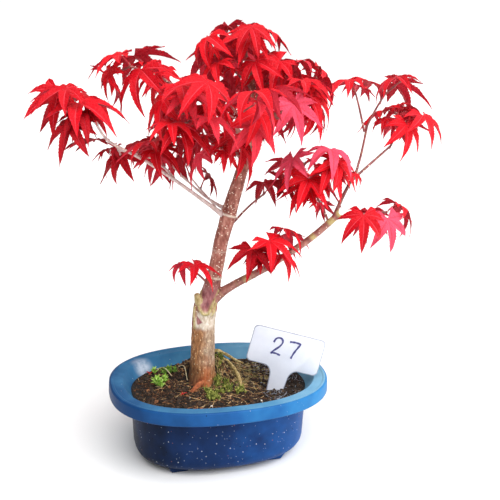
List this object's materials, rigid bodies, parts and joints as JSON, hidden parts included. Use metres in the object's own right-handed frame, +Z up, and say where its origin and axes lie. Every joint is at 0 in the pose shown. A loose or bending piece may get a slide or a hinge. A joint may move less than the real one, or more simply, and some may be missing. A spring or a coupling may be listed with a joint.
{
  "type": "japanese maple bonsai in an oval pot",
  "caption": "Small red-leaved Japanese maple bonsai with a leaning trunk, spreading boughs and sprays of leaves, in a blue oval pot of soil with a white plant label.",
  "frame": {"origin": "centre of the pot's underside, on the plane that its feet stand on", "axes": "+Z up, +X along the pot's long side towards the side with the label, -Y towards the front"},
  "size_m": [0.3165, 0.2156, 0.3464],
  "materials": {
    "pot": "moulded blue plastic with pale flecks, softly glossy",
    "soil": "damp crumbly potting soil with litter and moss",
    "label": "white plastic sheet with a pen number",
    "bark": "rough tan bark on the stump, smooth red-brown bark above",
    "leaves": "thin veined leaves, satin"
  },
  "bodies": {
    "root": {"pot": "pot", "soil": "soil", "plant_label": "label", "trunk": "bark", "stub_left": "bark", "bough_right": "bark", "bough_right_outer": "bark", "bough_right_rise": "bark", "bough_right_top": "bark", "bough_right_far": "bark", "bough_right_low": "bark", "bough_left": "bark", "bough_left_outer": "bark", "bough_left_end": "bark", "bough_left_inner": "bark", "bough_crown_left": "bark", "bough_crown_left_end": "bark", "bough_crown_right": "bark", "bough_front": "bark", "bough_back_left": "bark", "bough_back_right": "bark", "leaves_left_tip": "leaves", "leaves_left_hanging": "leaves", "leaves_left_under": "leaves", "leaves_left_shade": "leaves", "leaves_left_inner": "leaves", "leaves_left_trunk": "leaves", "leaves_right_trunk": "leaves", "leaves_low_left": "leaves", "leaves_low_right": "leaves", "leaves_right_inner": "leaves", "leaves_right_cluster": "leaves", "leaves_right_low": "leaves", "leaves_right_low_near": "leaves", "leaves_right_top": "leaves", "leaves_right_top_single": "leaves", "leaves_right_far": "leaves", "leaves_crown_tip": "leaves", "leaves_crown_tip_left": "leaves", "leaves_crown_tip_right": "leaves", "leaves_upper_left": "leaves", "leaves_upper_left_low": "leaves", "leaves_crown_left": "leaves", "leaves_crown_front": "leaves", "leaves_crown_middle": "leaves", "leaves_crown_low": "leaves", "leaves_crown_right": "leaves", "leaves_crown_right_low": "leaves", "leaves_back_left": "leaves", "leaves_back_left_low": "leaves", "leaves_back_right": "leaves", "leaves_back_middle": "leaves", "leaves_back_top": "leaves"}
  },
  "joints": []
}
